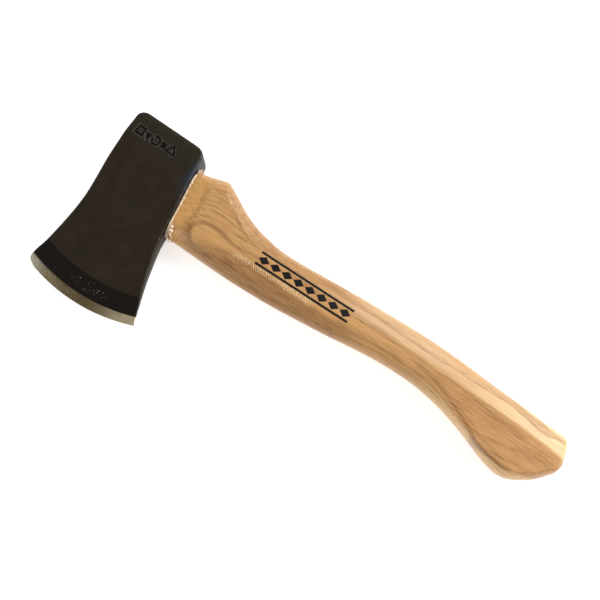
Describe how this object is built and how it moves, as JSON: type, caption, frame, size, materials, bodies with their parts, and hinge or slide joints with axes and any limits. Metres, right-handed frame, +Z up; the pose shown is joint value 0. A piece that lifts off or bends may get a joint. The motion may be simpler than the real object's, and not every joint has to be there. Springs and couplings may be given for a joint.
{
  "type": "hatchet",
  "caption": "One-handed camping hatchet: forged steel head with a curved bit and flat poll, wedged on a curved hickory handle with a swelled foot.",
  "frame": {"origin": "on the flat of the lower cheek, under the middle of the eye", "axes": "+X along the handle towards its foot, +Y towards the poll (the bit points to -Y), +Z up through both cheeks, square to them"},
  "size_m": [0.356, 0.13, 0.025],
  "materials": {
    "head": "satin black forging finish, with a ground and polished edge",
    "handle": "clear lacquered hickory",
    "wood_wedge": "sawn hardwood, unlacquered",
    "steel_wedge": "plain cut steel"
  },
  "bodies": {
    "root": {"head": "head", "handle": "handle", "wood_wedge": "wood_wedge", "steel_wedge_front": "steel_wedge", "steel_wedge_back": "steel_wedge"}
  },
  "joints": []
}
